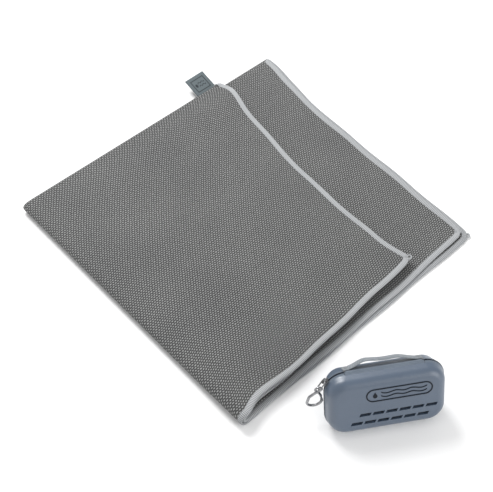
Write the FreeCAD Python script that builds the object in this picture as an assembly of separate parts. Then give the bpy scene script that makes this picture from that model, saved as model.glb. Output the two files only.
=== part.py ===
import FreeCAD, Part
import math
import os

# A quick-dry towel folded in four, with the small zipped case that it travels in.
# Millimetres. +Z is up. The origin is the bottom centre of the whole set's bounding box.
# +X runs along the case's long side, and the case's face looks towards -Y.

V = FreeCAD.Vector

# ---- towel: folded once across and once along, so it lies in four layers ----
STACK_HEIGHT = 16.0          # four layers with the air between them
HALF_GAP = 0.3               # clearance between the two halves of the stack
HEM_WIDTH = 7.0              # overlocked edge
LAYER_GAP = 0.25             # gap between the hems of neighbouring layers
CORNER_RADIUS = 9.0          # rounded corner of the hem
# Corners in the towel's own axes: u away from the main fold, v along it.
FOLD_LENGTH = 437.0
LOWER_FAR = (439.0, 5.0)
LOWER_NEAR = (413.0, 424.0)
UPPER_FAR = (343.0, 0.0)
UPPER_NEAR = (321.0, 405.0)
TOWEL_ANGLE = 31.1           # direction of u in the set, anticlockwise from +X
TOWEL_ORIGIN = V(-285.6, 92.8, 0.0)
KNOT_RADIUS = 1.7            # thread tail knotted at a corner

TAB_WIDTH = 33.0             # woven tab sewn under the upper half
TAB_REACH = 33.0             # how far it stands out of the fold
TAB_SEWN = 14.0              # how far it goes in under the towel
TAB_THICKNESS = 1.6
TAB_U = 323.0                # middle of the tab
TAB_Z = 8.6
STITCH_WIDTH = 2.2

# ---- case: two moulded shells, zipped round three sides, hinged along the top ----
CASE_LENGTH = 142.0
CASE_HEIGHT = 80.0
CASE_CORNER = 24.0
SHELL_WALL = 3.0
FRONT_DEPTH = 19.0
FRONT_DRAFT = 12.0
FRONT_EDGE = 11.0
BACK_DEPTH = 22.0
BACK_DRAFT = 20.0
BACK_EDGE = 8.0
LINING = 0.8
TAPE_EDGE = 4.5              # half-width of the zip band
TAPE_THICKNESS = 1.2
TEETH_EDGE = 1.45            # half-width of the closed zip teeth
SEAM_GAP = 0.15              # half the gap between the two sides of the case
CASE_LEAN = 20.0             # the case leans back on the draft of its back shell
CASE_ORIGIN = V(106.9, -301.2, 0.0)

SLOT_LENGTH = 13.0
SLOT_HEIGHT = 4.2
SLOT_SLANT = 2.0
SLOT_PITCH = 15.6
SLOT_COUNT = 6
SLOT_ROWS = ((-27.0, 29.0), (-37.0, 17.5))     # middle of the first slot, height of the row
BADGE_SIZE = (78.0, 18.0)
BADGE_CENTRE = (13.0, 55.0)
BADGE_LINE = 1.4
BADGE_RAISE = 0.5

STRAP_WIDTH = 11.0
STRAP_THICKNESS = 1.5
STRAP_INSET = 3.6            # from the seam to the strap's near edge
STRAP_HALF = 47.0
STRAP_LANDING = 8.0
STRAP_RISE = 9.0

# ---- zip slider, its pull and the snap hook that hangs from it ----
SLIDER_ANGLE = 55.0          # place on the corner, from the top of the case
SLIDER_HALF_SPAN = 9.0       # degrees each side
SLIDER_HALF_WIDTH = 3.2
PULL_WIRE = 0.8              # radii of round wires
PULL_PIVOT = 3.3             # height of the pull's bar over the corner
PULL_LENGTH = 12.0
PULL_HALF_WIDTH = 3.0
HOOK_SWING = 9.0             # the hook leans out from the case by this angle
EYE_RADIUS = 3.8
EYE_WIRE = 1.2
HOOK_WIRE = 1.6
HOOK_LENGTH = 39.0           # from the eye to the lowest point of the loop
HOOK_HALF_WIDTH = 8.6
PIN_RADIUS = 0.6
PIN_CLEARANCE = 0.05


# ---------------------------------------------------------------- helpers
def prism(points, low, high):
    """A straight prism on a polygon given as (x, y) pairs."""
    base = [V(x, y, low) for x, y in points]
    face = Part.Face(Part.makePolygon(base + base[:1]))
    return face.extrude(V(0, 0, high - low))


def box(low, high):
    size = [b - a for a, b in zip(low, high)]
    return Part.makeBox(size[0], size[1], size[2], V(*low))


def rounded_path(points, radii):
    """Straight runs joined by tangent arcs, one radius for each inner point."""
    edges = []
    start = points[0]
    for before, corner, after, radius in zip(points, points[1:], points[2:], radii):
        into = (corner - before).normalize()
        out = (after - corner).normalize()
        turn = into.getAngle(out)
        reach = radius * math.tan(turn / 2)
        first = corner - into * reach
        last = corner + out * reach
        inward = (out - into).normalize()
        middle = corner + inward * (radius / math.cos(turn / 2) - radius)
        if (first - start).Length > 1e-4:
            edges.append(Part.LineSegment(start, first).toShape())
        edges.append(Part.Arc(first, middle, last).toShape())
        start = last
    if (points[-1] - start).Length > 1e-4:
        edges.append(Part.LineSegment(start, points[-1]).toShape())
    return Part.Wire(edges)


def rod(path, radius):
    """A round rod along a wire."""
    first = path.Edges[0]
    start = first.valueAt(first.FirstParameter)
    section = Part.Wire(Part.makeCircle(radius, start, first.tangentAt(first.FirstParameter)))
    return path.makePipeShell([section], True, True)


def straight_rod(start, end, radius):
    return Part.makeCylinder(radius, (end - start).Length, start, end - start)


# ---------------------------------------------------------------- towel
def towel_place(shape):
    """From the towel's axes, where y is minus v, into the set."""
    shape.Placement = FreeCAD.Placement(TOWEL_ORIGIN, FreeCAD.Rotation(V(0, 0, 1), TOWEL_ANGLE))
    return shape


def plan(far, near, inset):
    """The outline of one half of the stack, set in from its two hemmed edges."""
    corners = [V(0, 0, 0), V(far[0], -far[1], 0), V(near[0], -near[1], 0), V(0, -FOLD_LENGTH, 0)]
    right = (corners[2] - corners[1]).normalize()
    bottom = (corners[2] - corners[3]).normalize()
    away_right = V(right.y, -right.x, 0) * inset
    away_bottom = V(-bottom.y, bottom.x, 0) * inset
    far_in = corners[1] + away_right
    near_in = corners[2] + away_right + away_bottom
    fold_in = corners[3] + away_bottom
    return [(p.x, p.y) for p in (corners[0], far_in, near_in, fold_in)]


def half_outline(low, high, fold_on_top):
    """The stack's rounding at its folds: a nose at the main fold and a roll at the second."""
    reach = 520.0
    nose = high - low
    centre_z = low if fold_on_top else high
    flat = box((nose, -reach, low), (reach, reach, high))
    nose_bar = Part.makeCylinder(nose, 2 * reach, V(nose, -reach, centre_z), V(0, 1, 0))
    along_u = flat.fuse(nose_bar.common(box((0, -reach, low), (nose, reach, high))))
    roll = (high - low) / 2
    roll_bar = Part.makeCylinder(roll, 2 * reach, V(-reach, -roll, low + roll), V(1, 0, 0))
    along_v = box((-reach, -reach, low), (reach, -roll, high)).fuse(roll_bar)
    return along_u.common(along_v)


def towel_half(far, near, low, high, fold_on_top):
    """One half of the stack as a panel and the hems of its two layers."""
    outline = half_outline(low, high, fold_on_top)
    panel = prism(plan(far, near, HEM_WIDTH), low, high).common(outline)
    outer = plan(far, near, 0.0)
    inner = prism(plan(far, near, HEM_WIDTH), low, high)
    middle = (low + high) / 2
    hems = []
    for floor, roof in ((low, middle - LAYER_GAP / 2), (middle + LAYER_GAP / 2, high)):
        slab = prism(outer, floor, roof)
        corner = [e for e in slab.Edges if is_corner(e, outer[2])]
        hems.append(slab.makeFillet(CORNER_RADIUS, corner).cut(inner).common(outline))
    return panel, hems


def is_corner(edge, point):
    """Whether an edge is the upright one over a plan point."""
    ends = [v.Point for v in edge.Vertexes]
    return all(math.hypot(p.x - point[0], p.y - point[1]) < 0.01 for p in ends)


def corner_knots(near, heights):
    """The knotted thread tails at the hem's corner, one for each layer."""
    inset = CORNER_RADIUS * (1 - math.sqrt(0.5))
    corner = V(near[0] - inset, -near[1] + inset, 0)
    knots = [Part.makeSphere(KNOT_RADIUS, corner + V(0, 0, z)) for z in heights]
    return Part.makeCompound(knots)


def woven_tab():
    """The tab, its stitching and the room that the sewn end takes in the upper half."""
    low = (TAB_U - TAB_WIDTH / 2, -TAB_SEWN, TAB_Z)
    high = (TAB_U + TAB_WIDTH / 2, TAB_REACH, TAB_Z + TAB_THICKNESS)
    slab = box(low, high)
    end = [e for e in slab.Edges if min(v.Y for v in e.Vertexes) > TAB_REACH - 0.01 and e.Length > 5]
    tab = slab.makeFillet(TAB_THICKNESS * 0.45, end)
    rows = []
    for distance in (4.0, 9.5):
        row_low = (low[0] + 1, -distance - STITCH_WIDTH, TAB_Z - 0.4)
        rows.append(box(row_low, (high[0] - 1, -distance, TAB_Z)))
    room = box((low[0] - 0.3, low[1] - 0.3, TAB_Z - 2), (high[0] + 0.3, 5, high[2] + 0.05))
    return tab, Part.makeCompound(rows), room


def make_towel():
    low_top = (STACK_HEIGHT - HALF_GAP) / 2
    high_bottom = (STACK_HEIGHT + HALF_GAP) / 2
    lower, lower_hems = towel_half(LOWER_FAR, LOWER_NEAR, 0.0, low_top, False)
    upper, upper_hems = towel_half(UPPER_FAR, UPPER_NEAR, high_bottom, STACK_HEIGHT, True)
    tab, stitching, room = woven_tab()
    quarter = low_top / 4
    nodes = {
        "towel_lower_half": lower,
        "towel_upper_half": upper.cut(room),
        "hem_layer_4": lower_hems[0],
        "hem_layer_3": lower_hems[1],
        "hem_layer_2": upper_hems[0].cut(room),
        "hem_layer_1": upper_hems[1],
        "lower_corner_knots": cut_knots(LOWER_NEAR, (quarter, 3 * quarter), lower_hems),
        "upper_corner_knots": cut_knots(
            UPPER_NEAR, (high_bottom + quarter, high_bottom + 3 * quarter), upper_hems
        ),
        "woven_tab": tab,
        "tab_stitching": stitching,
    }
    return {name: towel_place(shape) for name, shape in nodes.items()}


def cut_knots(near, heights, hems):
    """Knots with the hems cut away, so that they sit against them."""
    knots = corner_knots(near, heights)
    for hem in hems:
        knots = knots.cut(hem)
    return knots


# ---------------------------------------------------------------- case shells
# In the case's own axes x is along it, y is up its height and z is out of its face.
def case_rotation():
    return FreeCAD.Rotation(V(1, 0, 0), 90 - CASE_LEAN)


def case_place(shape):
    shape.Placement = FreeCAD.Placement(CASE_ORIGIN, case_rotation()).multiply(shape.Placement)
    return shape


def outline_wire(inset, depth):
    """The case's rounded rectangle, set in all round, at a depth from the seam."""
    x = CASE_LENGTH / 2 - inset
    low = inset
    high = CASE_HEIGHT - inset
    r = max(CASE_CORNER - inset, 3.0)
    k = r * (1 - math.sqrt(0.5))
    line = Part.LineSegment
    arc = Part.Arc

    def p(a, b):
        return V(a, b, depth)

    edges = [
        line(p(-x + r, low), p(x - r, low)),
        arc(p(x - r, low), p(x - k, low + k), p(x, low + r)),
        line(p(x, low + r), p(x, high - r)),
        arc(p(x, high - r), p(x - k, high - k), p(x - r, high)),
        line(p(x - r, high), p(-x + r, high)),
        arc(p(-x + r, high), p(-x + k, high - k), p(-x, high - r)),
        line(p(-x, high - r), p(-x, low + r)),
        arc(p(-x, low + r), p(-x + k, low + k), p(-x + r, low)),
    ]
    return Part.Wire([e.toShape() for e in edges])


def tapered(side, draft, inset, near, far):
    """A drafted block between two depths, on the front (side 1) or the back (side -1)."""
    slope = math.tan(math.radians(draft))
    wires = [outline_wire(inset + d * slope, side * d) for d in (near, far)]
    return Part.makeLoft(wires, True, True)


def rounded_block(side, draft, inset, near, far, edge):
    """A drafted block with its far rim rounded."""
    block = tapered(side, draft, inset, near, far)
    rim = [e for e in block.Edges if all(abs(v.Z - side * far) < 1e-3 for v in e.Vertexes)]
    return block.makeFillet(edge, rim)


def shell_and_lining(side, draft, depth, edge):
    """A moulded shell that starts at the zip band, and the lining inside it."""
    outer = rounded_block(side, draft, 0.0, TAPE_EDGE, depth, edge)
    reach = depth - SHELL_WALL
    near = TAPE_EDGE - 0.5
    cavity = rounded_block(side, draft, SHELL_WALL, near, reach, edge - SHELL_WALL + 1)
    gap = 0.05
    lining_out = rounded_block(side, draft, SHELL_WALL + gap, TAPE_EDGE, reach - gap, edge - SHELL_WALL + 1)
    inset = SHELL_WALL + gap + LINING
    lining_in = rounded_block(side, draft, inset, near, reach - gap - LINING, edge - SHELL_WALL + 0.2)
    return outer.cut(cavity), lining_out.cut(lining_in)


def hinge_window():
    """The straight middle of the top side, where the case is hinged instead of zipped."""
    half = CASE_LENGTH / 2 - CASE_CORNER
    return box((-half, CASE_HEIGHT - 10, -10), (half, CASE_HEIGHT + 10, 10))


def band(side, draft, near, far, outset, thickness):
    """A ring round the case between two depths: its outer face is set in by outset."""
    ring = tapered(side, draft, outset, near, far)
    return ring.cut(tapered(side, draft, outset + thickness, near - 0.1, far + 0.1))


def zip_parts(side, draft):
    """One side's tape and teeth, and the leaf of the fabric hinge."""
    window = hinge_window()
    tape = band(side, draft, TEETH_EDGE, TAPE_EDGE, 0.0, TAPE_THICKNESS).cut(window)
    teeth = band(side, draft, SEAM_GAP, TEETH_EDGE, 0.1, TAPE_THICKNESS + 0.5).cut(window)
    leaf = band(side, draft, SEAM_GAP, TAPE_EDGE, 0.0, TAPE_THICKNESS).common(window)
    return tape, teeth, leaf


def end_stops():
    """A metal clip over the teeth's back row at each end of the zip."""
    x = CASE_LENGTH / 2 - CASE_CORNER - 1.2
    clips = []
    for centre in (-x, x):
        clips.append(box((centre - 1.1, CASE_HEIGHT + 0.02, -1.5), (centre + 1.1, CASE_HEIGHT + 0.9, -0.3)))
    return Part.makeCompound(clips)


def vent_slots():
    """Two staggered rows of slanted slots through the front."""
    cutters = []
    for first, height in SLOT_ROWS:
        for i in range(SLOT_COUNT):
            x = first + i * SLOT_PITCH
            left = x - SLOT_LENGTH / 2
            right = x + SLOT_LENGTH / 2
            low = height - SLOT_HEIGHT / 2
            high = height + SLOT_HEIGHT / 2
            corners = [
                (left - SLOT_SLANT / 2, low),
                (right - SLOT_SLANT / 2, low),
                (right + SLOT_SLANT / 2, high),
                (left + SLOT_SLANT / 2, high),
            ]
            cutters.append(prism(corners, FRONT_DEPTH - 7, FRONT_DEPTH + 3))
    return Part.makeCompound(cutters)


def badge():
    """A raised rounded frame with a drop and two wavy bars: a plain water sign."""
    width, height = BADGE_SIZE
    cx, cy = BADGE_CENTRE
    low = FRONT_DEPTH + 0.01
    top = FRONT_DEPTH + BADGE_RAISE

    def pill(w, h):
        r = h / 2 - 0.01
        block = box((cx - w / 2, cy - h / 2, low), (cx + w / 2, cy + h / 2, top))
        upright = [e for e in block.Edges if abs(e.Vertexes[0].Z - e.Vertexes[-1].Z) > 0.1]
        return block.makeFillet(r, upright)

    frame = pill(width, height).cut(pill(width - 2 * BADGE_LINE, height - 2 * BADGE_LINE))
    solids = [frame]
    drop_x = cx - width / 2 + height / 2 + 1.5
    bowl = Part.makeCylinder(2.6, top - low, V(drop_x, cy - 1.2, low))
    tip = prism([(drop_x - 2.5, cy - 0.4), (drop_x + 2.5, cy - 0.4), (drop_x, cy + 4.2)], low, top)
    solids.append(bowl.fuse(tip).removeSplitter())
    for row in (-2.6, 2.6):
        solids.append(wave_bar(drop_x + 7.0, cx + width / 2 - 7.0, cy + row, low, top))
    return Part.makeCompound(solids)


def wave_bar(x0, x1, y, low, top):
    """A bar whose two long sides are waves."""
    step = (x1 - x0) / 6
    sides = []
    for offset in (-0.6, 0.6):
        points = [V(x0 + i * step, y + offset + 0.9 * (-1) ** i, low) for i in range(7)]
        curve = Part.BSplineCurve()
        curve.interpolate(points)
        sides.append(curve.toShape())
    ends = []
    for index in (0, -1):
        a = sides[0].Vertexes[index].Point
        b = sides[1].Vertexes[index].Point
        ends.append(Part.LineSegment(a, b).toShape())
    face = Part.Face(Part.Wire(Part.__sortEdges__(sides + ends)))
    return face.extrude(V(0, 0, top - low))


def carrying_strap():
    """Slack webbing on the back shell's top wall, with a stitched landing at each end."""
    t = STRAP_THICKNESS
    x = STRAP_HALF
    flat = x - STRAP_LANDING
    rise = STRAP_RISE
    lower = [(-flat, 0.0), (-0.55 * flat, rise - t), (0.0, 0.55 * rise), (0.5 * flat, 0.62 * rise), (flat, 0.0)]
    tilt = (0.5, 0.0, 0.0, 0.0, -0.5)
    faces = []
    for lift in (0.0, t):
        curve = Part.BSplineCurve()
        points = [V(a - k * lift, b + lift, 0) for (a, b), k in zip(lower, tilt)]
        curve.interpolate(points, InitialTangent=V(1, 0.25, 0), FinalTangent=V(1, -0.25, 0))
        faces.append(curve.toShape())
    ends = []
    for index, sign in ((0, -1), (-1, 1)):
        a = faces[0].Vertexes[index].Point
        b = faces[1].Vertexes[index].Point
        corners = [a, V(sign * x, 0, 0), V(sign * x, t, 0), b]
        ends += [Part.LineSegment(p, q).toShape() for p, q in zip(corners, corners[1:])]
    face = Part.Face(Part.Wire(Part.__sortEdges__(faces + ends)))
    strap = face.extrude(V(0, 0, STRAP_WIDTH))
    tacks = []
    for centre in (-x + STRAP_LANDING / 2, x - STRAP_LANDING / 2):
        low = (centre - 2.5, t, 1.0)
        tacks.append(box(low, (centre + 2.5, t + 0.5, STRAP_WIDTH - 1.0)))
    return on_top_wall(strap), on_top_wall(Part.makeCompound(tacks))


def on_top_wall(shape):
    """From the strap's axes onto the back shell's drafted top wall."""
    turn = FreeCAD.Rotation(V(1, 0, 0), -BACK_DRAFT)
    along = turn.multVec(V(0, 0, -1))
    up = turn.multVec(V(0, 1, 0))
    start = V(0, CASE_HEIGHT, 0) + along * (STRAP_INSET + STRAP_WIDTH) + up * 0.05
    shape.Placement = FreeCAD.Placement(start, turn)
    return shape


# ---------------------------------------------------------------- zip slider and pull
def corner_centre():
    return V(-CASE_LENGTH / 2 + CASE_CORNER, CASE_HEIGHT - CASE_CORNER, 0)


def outward(angle):
    """Unit vector out of the top left corner, at an angle from straight up."""
    a = math.radians(angle)
    return V(-math.sin(a), math.cos(a), 0)


def corner_sector(inner, outer, low, high, half_span):
    """A bent plate concentric with the corner."""
    centre = corner_centre()
    ring = Part.makeCylinder(outer, high - low, centre + V(0, 0, low))
    ring = ring.cut(Part.makeCylinder(inner, high - low, centre + V(0, 0, low)))
    sides = [centre + outward(SLIDER_ANGLE + s) * 60 for s in (-half_span, half_span)]
    wedge = prism([(centre.x, centre.y)] + [(p.x, p.y) for p in sides], low - 1, high + 1)
    return ring.common(wedge)


def zip_slider():
    """The slider's outer plate, higher on the front side, with an open crown for the pull."""
    r = CASE_CORNER
    w = SLIDER_HALF_WIDTH
    back = corner_sector(r + 0.3, r + 1.9, -w, 0.0, SLIDER_HALF_SPAN)
    front = corner_sector(r + 0.9, r + 1.9, 0.0, w, SLIDER_HALF_SPAN)
    plate = back.fuse(front)
    pivot = r + PULL_PIVOT
    crown = corner_sector(r + 1.8, pivot + 2.1, -1.4, 1.4, 6.5)
    eye = Part.makeCylinder(PULL_WIRE + 0.25, 4, corner_centre() + outward(SLIDER_ANGLE) * pivot + V(0, 0, -2))
    return plate.fuse(crown).cut(eye).removeSplitter()


def pull_bars():
    """Centres of the pull's two bars: in the slider's crown and in the hook's eye."""
    inner = corner_centre() + outward(SLIDER_ANGLE) * (CASE_CORNER + PULL_PIVOT)
    outer_x = -CASE_LENGTH / 2 - EYE_RADIUS - EYE_WIRE - 0.45
    drop = math.sqrt(PULL_LENGTH ** 2 - (inner.x - outer_x) ** 2)
    return inner, V(outer_x, inner.y - drop, 0)


def zip_pull():
    """A wire loop: one bar turns in the crown and the hook's eye hangs on the other."""
    inner, outer = pull_bars()
    half = V(0, 0, PULL_HALF_WIDTH + PULL_WIRE)
    start = inner
    points = [start, inner + half, outer + half, outer - half, inner - half, start]
    path = rounded_path(points, (1.8, 1.8, 1.8, 1.8))
    return rod(path, PULL_WIRE)


# ---------------------------------------------------------------- snap hook
# In the hook's own axes x is to the right, y is up its length and z is through its loop.
def hook_place(shape):
    """Hangs the eye on the pull's bar and swings the hook away from the case."""
    top = CASE_ORIGIN + case_rotation().multVec(pull_bars()[1])
    upright = FreeCAD.Rotation(V(1, 0, 0), 90)
    swing = FreeCAD.Rotation(V(0, 1, 0), HOOK_SWING)
    slack = EYE_RADIUS - EYE_WIRE - PULL_WIRE - 0.25
    shape.Placement = FreeCAD.Placement(top - V(0, 0, slack), swing.multiply(upright))
    return shape


def hook_points():
    """The loop's centre line from the nose, over the apex and round to the gate's pivot."""
    w = HOOK_HALF_WIDTH
    bottom = -HOOK_LENGTH + HOOK_WIRE + EYE_RADIUS
    nose = V(0.62 * w, -13.0, 0)
    apex = V(0.0, -EYE_RADIUS - 0.4, 0)
    shoulder = V(-0.94 * w, -15.0, 0)
    left = V(-w, bottom, 0)
    right = V(w, bottom, 0)
    pivot = V(w, bottom + 11.0, 0)
    return [nose, apex, shoulder, left, right, pivot]


def hook_body():
    points = hook_points()
    loop = rod(rounded_path(points, (1.9, 6.0, HOOK_HALF_WIDTH - 0.4, HOOK_HALF_WIDTH - 0.4)), HOOK_WIRE)
    eye = Part.makeTorus(EYE_RADIUS, EYE_WIRE, V(0, 0, 0), V(0, 0, 1))
    pivot = points[-1]
    knuckle = Part.makeCylinder(HOOK_WIRE, 2 * HOOK_WIRE, pivot - V(0, 0, HOOK_WIRE))
    body = loop.fuse([eye, knuckle])
    slot = box((pivot.x - 4, pivot.y - 2.2, -1.0), (pivot.x + 4, pivot.y + 4, 1.0))
    bore = Part.makeCylinder(PIN_RADIUS, 8, pivot - V(0, 0, 4))
    return body.cut(slot).cut(bore).removeSplitter()


def hook_gate():
    """A straight gate from the pivot to the nose, with a flat tongue round the pin."""
    points = hook_points()
    nose = points[0]
    pivot = points[-1]
    along = (nose - pivot).normalize()
    bar = straight_rod(pivot + along * 2.4, nose - along * (HOOK_WIRE + 0.25), 1.15)
    tongue = Part.makeCylinder(1.5, 1.1, pivot - V(0, 0, 0.55))
    side = V(-along.y, along.x, 0) * 1.1
    neck = [pivot - side, pivot + side, pivot + along * 4 + side, pivot + along * 4 - side]
    tongue = tongue.fuse(prism([(p.x, p.y) for p in neck], -0.55, 0.55))
    bore = Part.makeCylinder(PIN_RADIUS + PIN_CLEARANCE, 4, pivot - V(0, 0, 2))
    return bar.fuse(tongue).cut(bore).removeSplitter()


def gate_pin():
    pivot = hook_points()[-1]
    return Part.makeCylinder(PIN_RADIUS, 2 * HOOK_WIRE, pivot - V(0, 0, HOOK_WIRE))


def gate_spring():
    """The flat coil of the torsion spring beside the gate's tongue."""
    pivot = hook_points()[-1]
    low = pivot - V(0, 0, 0.95)
    coil = Part.makeCylinder(1.25, 0.3, low)
    return coil.cut(Part.makeCylinder(PIN_RADIUS, 0.3, low))


def make_case():
    back_shell, back_lining = shell_and_lining(-1, BACK_DRAFT, BACK_DEPTH, BACK_EDGE)
    front_shell, front_lining = shell_and_lining(1, FRONT_DRAFT, FRONT_DEPTH, FRONT_EDGE)
    back_tape, back_teeth, back_leaf = zip_parts(-1, BACK_DRAFT)
    front_tape, front_teeth, front_leaf = zip_parts(1, FRONT_DRAFT)
    strap, tacks = carrying_strap()
    nodes = {
        "back_shell": back_shell,
        "back_lining": back_lining,
        "back_zip_tape": back_tape,
        "back_zip_teeth": back_teeth,
        "back_hinge_leaf": back_leaf,
        "zip_end_stops": end_stops(),
        "carrying_strap": strap,
        "strap_stitching": tacks,
        "front_shell": front_shell.cut(vent_slots()),
        "front_lining": front_lining,
        "front_zip_tape": front_tape,
        "front_zip_teeth": front_teeth,
        "front_hinge_leaf": front_leaf,
        "water_badge": badge(),
        "zip_slider": zip_slider(),
        "zip_pull": zip_pull(),
    }
    placed = {name: case_place(shape) for name, shape in nodes.items()}
    hook = {"hook_body": hook_body(), "hook_gate": hook_gate()}
    hook.update({"gate_pin": gate_pin(), "gate_spring": gate_spring()})
    placed.update({name: hook_place(shape) for name, shape in hook.items()})
    return placed


def make_set():
    nodes = make_towel()
    nodes.update(make_case())
    return nodes


def main():
    os.makedirs("parts", exist_ok=True)
    for name, shape in make_set().items():
        shape.exportStep("parts/" + name + ".step")


main()
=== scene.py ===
import math

import bmesh
import bpy
import numpy as np
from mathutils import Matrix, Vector


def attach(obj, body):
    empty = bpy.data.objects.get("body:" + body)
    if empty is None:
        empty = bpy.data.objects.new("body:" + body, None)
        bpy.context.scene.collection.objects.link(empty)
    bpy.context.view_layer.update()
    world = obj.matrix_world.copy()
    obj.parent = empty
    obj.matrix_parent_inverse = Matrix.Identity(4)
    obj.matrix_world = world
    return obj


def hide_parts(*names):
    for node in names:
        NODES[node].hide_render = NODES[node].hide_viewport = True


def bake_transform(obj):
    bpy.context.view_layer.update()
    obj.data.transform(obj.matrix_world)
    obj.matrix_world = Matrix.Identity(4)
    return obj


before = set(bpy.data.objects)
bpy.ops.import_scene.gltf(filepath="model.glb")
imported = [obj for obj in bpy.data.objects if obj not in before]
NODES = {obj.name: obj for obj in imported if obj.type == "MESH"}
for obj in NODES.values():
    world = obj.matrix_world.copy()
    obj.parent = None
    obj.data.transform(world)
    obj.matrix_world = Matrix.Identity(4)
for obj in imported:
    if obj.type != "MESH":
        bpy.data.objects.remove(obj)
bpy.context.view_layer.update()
MM = 0.001

# ------------------------------------------------------------------ the towel's and the case's own axes
TOWEL_ORIGIN = np.array([-0.2856, 0.0928, 0.0])
TOWEL_TURN = math.radians(31.1)
CASE_ORIGIN = np.array([0.1069, -0.3012, 0.0])
CASE_TILT = math.radians(70.0)


def towel_point(p):
    """Millimetres (u away from the main fold, v along it, z up) to the row frame in metres."""
    u, v, z = p[..., 0], p[..., 1], p[..., 2]
    c, s = math.cos(TOWEL_TURN), math.sin(TOWEL_TURN)
    return TOWEL_ORIGIN + MM * np.stack([u * c + v * s, u * s - v * c, z], axis=-1)


def case_point(p):
    """Millimetres (x along the case, s up its height, n out of its face) to the row frame in metres."""
    x, s, n = p[..., 0], p[..., 1], p[..., 2]
    c, d = math.cos(CASE_TILT), math.sin(CASE_TILT)
    return CASE_ORIGIN + MM * np.stack([x, s * c - n * d, s * d + n * c], axis=-1)


# ------------------------------------------------------------------ mesh helpers
def make_mesh(name, points, faces, uv=None, smooth=True):
    """A mesh object. uv gives one pair for each point."""
    mesh = bpy.data.meshes.new(name)
    points = np.asarray(points, float).reshape(-1, 3)
    mesh.from_pydata(points.tolist(), [], [list(map(int, f)) for f in faces])
    if uv is not None:
        uv = np.asarray(uv, float).reshape(-1, 2)
        layer = mesh.uv_layers.new(name="UVMap")
        index = np.empty(len(mesh.loops), int)
        mesh.loops.foreach_get("vertex_index", index)
        layer.data.foreach_set("uv", uv[index].astype(np.float32).ravel())
    mesh.polygons.foreach_set("use_smooth", [smooth] * len(mesh.polygons))
    mesh.validate()
    mesh.update()
    obj = bpy.data.objects.new(name, mesh)
    bpy.context.scene.collection.objects.link(obj)
    return obj


def grid_faces(rows, cols, start=0, closed=False, flip=False):
    """Quads of a rows x cols grid of points; closed joins the last column to the first."""
    last = cols if closed else cols - 1
    i, j = np.meshgrid(np.arange(rows - 1), np.arange(last), indexing="ij")
    k = (j + 1) % cols
    quads = np.stack([i * cols + j, i * cols + k, (i + 1) * cols + k, (i + 1) * cols + j], axis=-1)
    quads = quads.reshape(-1, 4) + start
    return quads[:, ::-1] if flip else quads


def closing_faces(rows, sides):
    """Quads that join the last ring of a tube to its first."""
    last = (rows - 1) * sides
    return [[last + j, last + (j + 1) % sides, (j + 1) % sides, j] for j in range(sides)]


def rim_cells(rows, cols):
    """The (row, column) places round a grid's rim, in order."""
    cells = [(0, j) for j in range(cols)] + [(i, cols - 1) for i in range(1, rows)]
    return cells + [(rows - 1, j) for j in range(cols - 2, -1, -1)] + [(i, 0) for i in range(rows - 2, 0, -1)]


def closed_sheet(name, top, bottom, place, uv=None):
    """A sheet with thickness, from grids of points on its two sides. place takes them to the frame."""
    rows, cols = top.shape[:2]
    count = rows * cols
    points = np.concatenate([top.reshape(-1, 3), bottom.reshape(-1, 3)])
    faces = grid_faces(rows, cols).tolist() + grid_faces(rows, cols, count, flip=True).tolist()
    rim = [i * cols + j for i, j in rim_cells(rows, cols)]
    faces += [[q, p, p + count, q + count] for p, q in zip(rim, rim[1:] + rim[:1])]
    one_side = np.zeros((count, 2)) if uv is None else uv.reshape(-1, 2)
    obj = make_mesh(name, place(points), faces, np.vstack([one_side, one_side]))
    outward_normals(obj)
    return obj, points


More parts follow.
